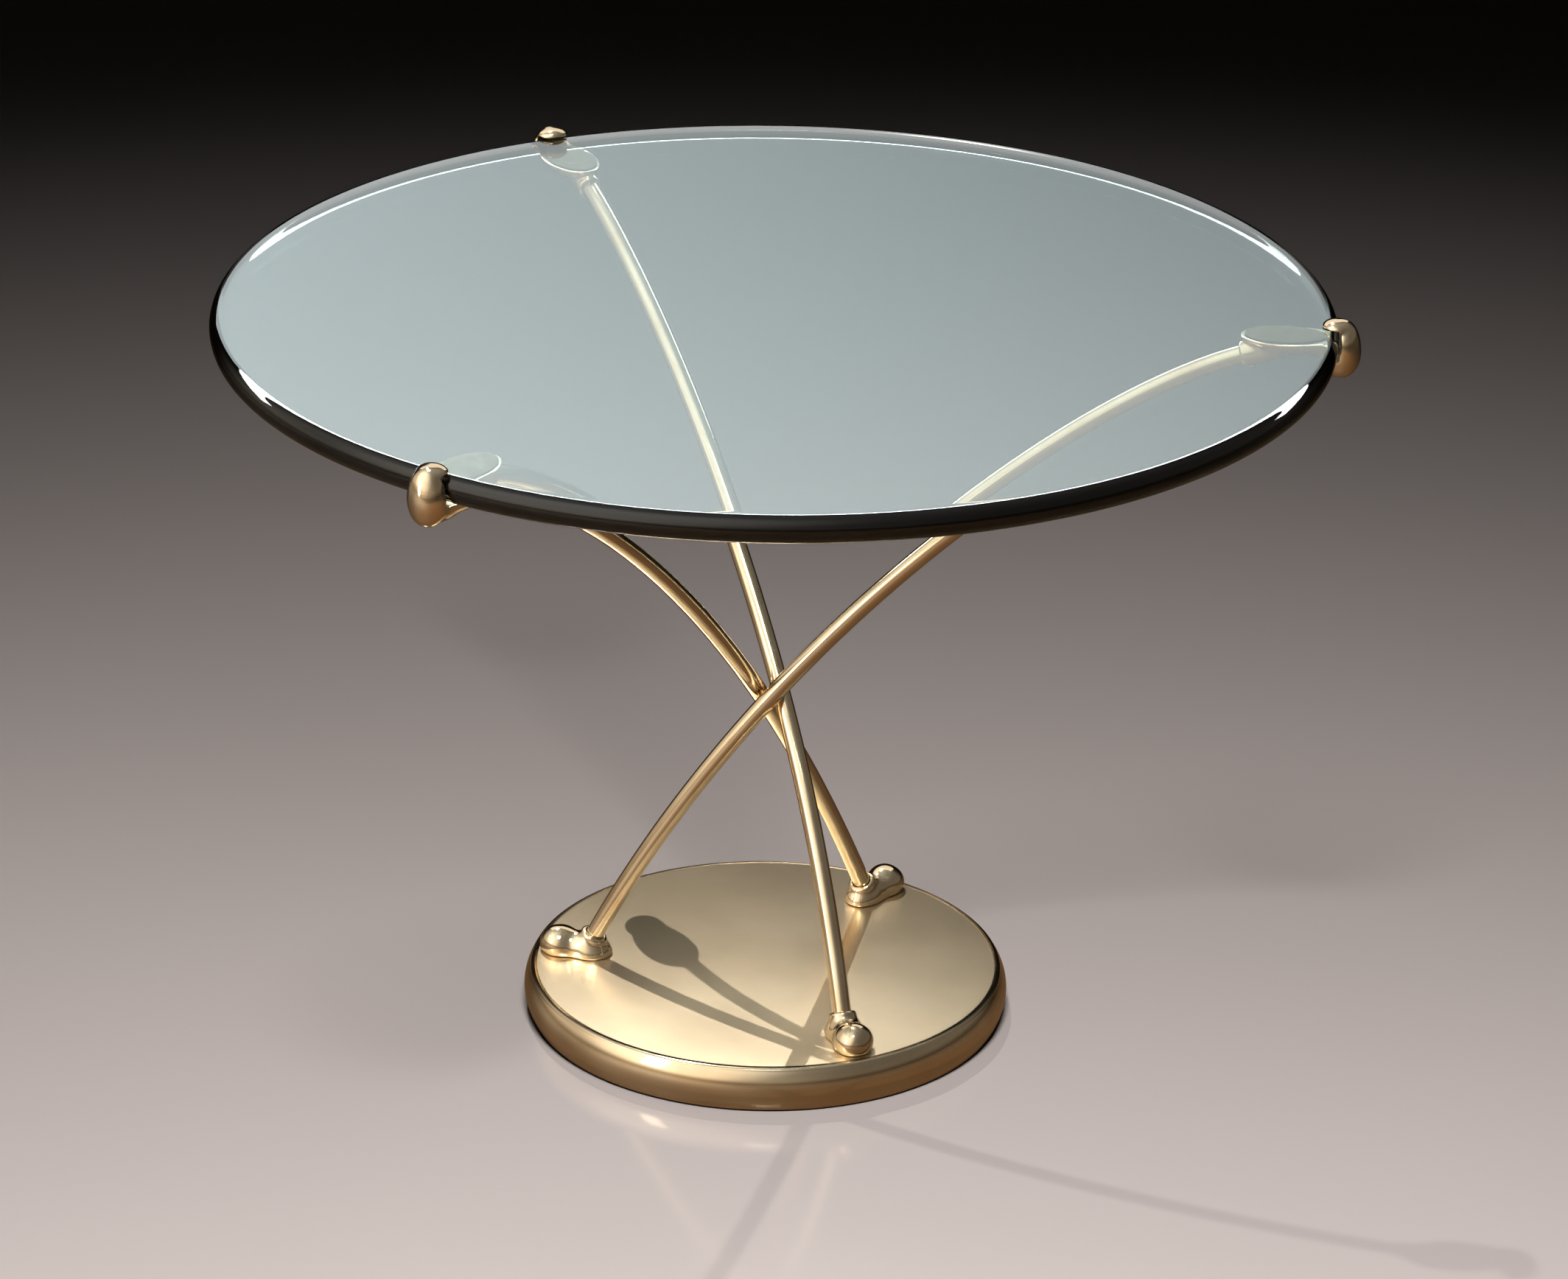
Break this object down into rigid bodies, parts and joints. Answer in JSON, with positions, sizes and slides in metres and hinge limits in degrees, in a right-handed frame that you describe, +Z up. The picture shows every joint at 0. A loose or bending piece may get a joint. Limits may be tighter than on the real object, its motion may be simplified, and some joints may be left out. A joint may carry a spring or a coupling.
{
  "type": "occasional table",
  "caption": "Round occasional table: a clear glass disc held by rim claws on three crossed, arched metal rods above a weighted round metal base.",
  "frame": {"origin": "centre of the felt's underside, on the floor and on the table's axis", "axes": "+Z up along the table's axis; -Y is the front, with the front foot just right of it and the right claw near +X"},
  "size_m": [0.7756, 0.7616, 0.5335],
  "materials": {
    "clear_glass": "clear float glass with a polished rounded edge",
    "satin_bronze": "champagne bronze, satin on the flat top and polished on the rim",
    "polished_bronze": "polished champagne bronze",
    "cast_iron": "rough casting",
    "black_paint": "black powder coat",
    "felt": "brown felt",
    "clear_rubber": "clear soft bumper",
    "zinc_steel": "zinc plated"
  },
  "bodies": {
    "root": {"glass_top": "clear_glass", "base_shell": "satin_bronze", "base_weight": "cast_iron", "base_bottom_plate": "black_paint", "base_felt_pad": "felt", "leg_rod_a": "polished_bronze", "leg_rod_b": "polished_bronze", "leg_rod_c": "polished_bronze", "foot_casting_a": "polished_bronze", "foot_casting_b": "polished_bronze", "foot_casting_c": "polished_bronze", "claw_casting_a": "polished_bronze", "claw_casting_b": "polished_bronze", "claw_casting_c": "polished_bronze", "claw_pad_a": "clear_rubber", "claw_pad_b": "clear_rubber", "claw_pad_c": "clear_rubber", "lip_pad_a": "clear_rubber", "lip_pad_b": "clear_rubber", "lip_pad_c": "clear_rubber", "foot_bolt_a": "zinc_steel", "foot_bolt_b": "zinc_steel", "foot_bolt_c": "zinc_steel", "foot_washer_a": "zinc_steel", "foot_washer_b": "zinc_steel", "foot_washer_c": "zinc_steel", "foot_set_screw_a": "zinc_steel", "foot_set_screw_b": "zinc_steel", "foot_set_screw_c": "zinc_steel", "claw_set_screw_a": "zinc_steel", "claw_set_screw_b": "zinc_steel", "claw_set_screw_c": "zinc_steel", "plate_screw_a": "zinc_steel", "plate_screw_b": "zinc_steel", "plate_screw_c": "zinc_steel"}
  },
  "joints": []
}
